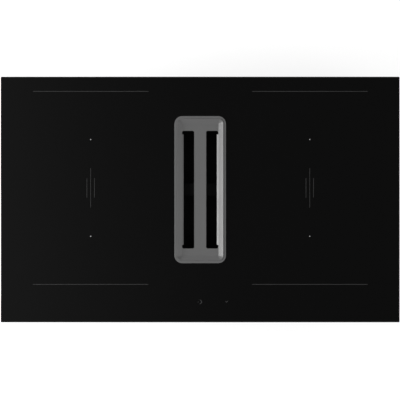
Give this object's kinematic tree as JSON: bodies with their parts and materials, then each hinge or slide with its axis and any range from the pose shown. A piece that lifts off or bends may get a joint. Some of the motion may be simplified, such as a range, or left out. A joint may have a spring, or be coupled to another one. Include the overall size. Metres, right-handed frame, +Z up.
{
  "type": "downdraft induction cooktop",
  "caption": "Built-in induction cooktop with two long cooking zones and a downdraft extractor drawing air through a grey grille in the middle of the black glass.",
  "frame": {"origin": "on the worktop's top surface, under the middle of the glass", "axes": "+X to the user's right, +Y away from the user, +Z up"},
  "size_m": [0.83, 0.511, 0.2171],
  "materials": {
    "black_glass": "gloss black glass ceramic",
    "grey_coat": "fine matt coat",
    "black_coat": "fine matt coat",
    "zinc_coated_steel": "zinc-coated sheet",
    "stainless_steel": "brushed",
    "steel": "plain",
    "aluminium": "mill finish",
    "black_plastic": "moulded, matt",
    "grey_plastic": "moulded, matt",
    "foam": "closed-cell foam strip",
    "silicone": "silicone bead",
    "copper_wire": "enamelled copper litz wire",
    "white_insulator": "mica and ceramic",
    "circuit_board": "solder mask"
  },
  "bodies": {
    "cooktop": {"glass_ceramic_top": "black_glass", "worktop_seal": "foam", "glass_bond": "silicone", "shaft_bond": "silicone", "hob_tray": "zinc_coated_steel", "intake_shaft": "black_plastic", "duct_housing_upper": "black_plastic", "duct_housing_lower": "black_plastic", "scroll_cover": "grey_plastic", "outlet_duct": "black_plastic", "motor_stator": "copper_wire", "motor_base": "aluminium", "bearing_upper": "steel", "bearing_lower": "steel", "display_light_guide": "black_plastic", "touch_control_board": "circuit_board", "control_bracket": "grey_plastic", "terminal_box": "black_plastic", "terminal_block": "white_insulator", "cable_gland": "grey_plastic", "insulation_sheet_left": "white_insulator", "coil_carrier_left": "aluminium", "inverter_board_left": "circuit_board", "heat_sink_left": "aluminium", "cooling_fan_frame_left": "black_plastic", "coil_winding_front_left": "copper_wire", "coil_former_front_left": "grey_plastic", "temperature_sensor_front_left": "aluminium", "centring_spring_front_left": "steel", "coil_winding_rear_left": "copper_wire", "coil_former_rear_left": "grey_plastic", "temperature_sensor_rear_left": "aluminium", "centring_spring_rear_left": "steel", "insulation_sheet_right": "white_insulator", "coil_carrier_right": "aluminium", "inverter_board_right": "circuit_board", "heat_sink_right": "aluminium", "cooling_fan_frame_right": "black_plastic", "coil_winding_front_right": "copper_wire", "coil_former_front_right": "grey_plastic", "temperature_sensor_front_right": "aluminium", "centring_spring_front_right": "steel", "coil_winding_rear_right": "copper_wire", "coil_former_rear_right": "grey_plastic", "temperature_sensor_rear_right": "aluminium", "centring_spring_rear_right": "steel"},
    "grille": {"air_grille": "grey_coat"},
    "filter": {"filter_frame": "black_coat", "filter_mesh_left": "stainless_steel", "filter_mesh_right": "stainless_steel", "filter_grip": "black_plastic"},
    "container": {"overflow_container": "grey_plastic"},
    "blower_wheel": {"impeller": "black_plastic", "motor_rotor_can": "steel", "motor_shaft": "steel"},
    "fan_wheel_left": {"cooling_fan_rotor_left": "grey_plastic"},
    "fan_wheel_right": {"cooling_fan_rotor_right": "grey_plastic"},
    "connection_lid": {"terminal_lid": "black_plastic"}
  },
  "joints": [
    {"name": "grille_lift", "type": "slide", "parent": "cooktop", "child": "grille", "axis": [0, 0, 1], "range_m": [0, 0.22]},
    {"name": "filter_lift", "type": "slide", "parent": "cooktop", "child": "filter", "axis": [0, 0, 1], "range_m": [0, 0.11]},
    {"name": "container_slide", "type": "slide", "parent": "cooktop", "child": "container", "axis": [0, -1, 0], "range_m": [0, 0.27]},
    {"name": "impeller_spin", "type": "hinge", "parent": "cooktop", "child": "blower_wheel", "pos_m": [0.19612, -0.01, -0.13], "axis": [0, 0, 1], "continuous": true},
    {"name": "fan_left_spin", "type": "hinge", "parent": "cooktop", "child": "fan_wheel_left", "pos_m": [-0.322, -0.115, -0.037], "axis": [0, 0, 1], "continuous": true},
    {"name": "fan_right_spin", "type": "hinge", "parent": "cooktop", "child": "fan_wheel_right", "pos_m": [0.322, -0.115, -0.037], "axis": [0, 0, 1], "continuous": true},
    {"name": "terminal_lid_hinge", "type": "hinge", "parent": "cooktop", "child": "connection_lid", "pos_m": [-0.3, 0.0846, -0.0856], "axis": [-1, 0, 0], "range_deg": [0, 100]}
  ],
  "couplings": [
    {"joint": "filter_lift", "follows": "grille_lift", "ratio": 0.5}
  ]
}
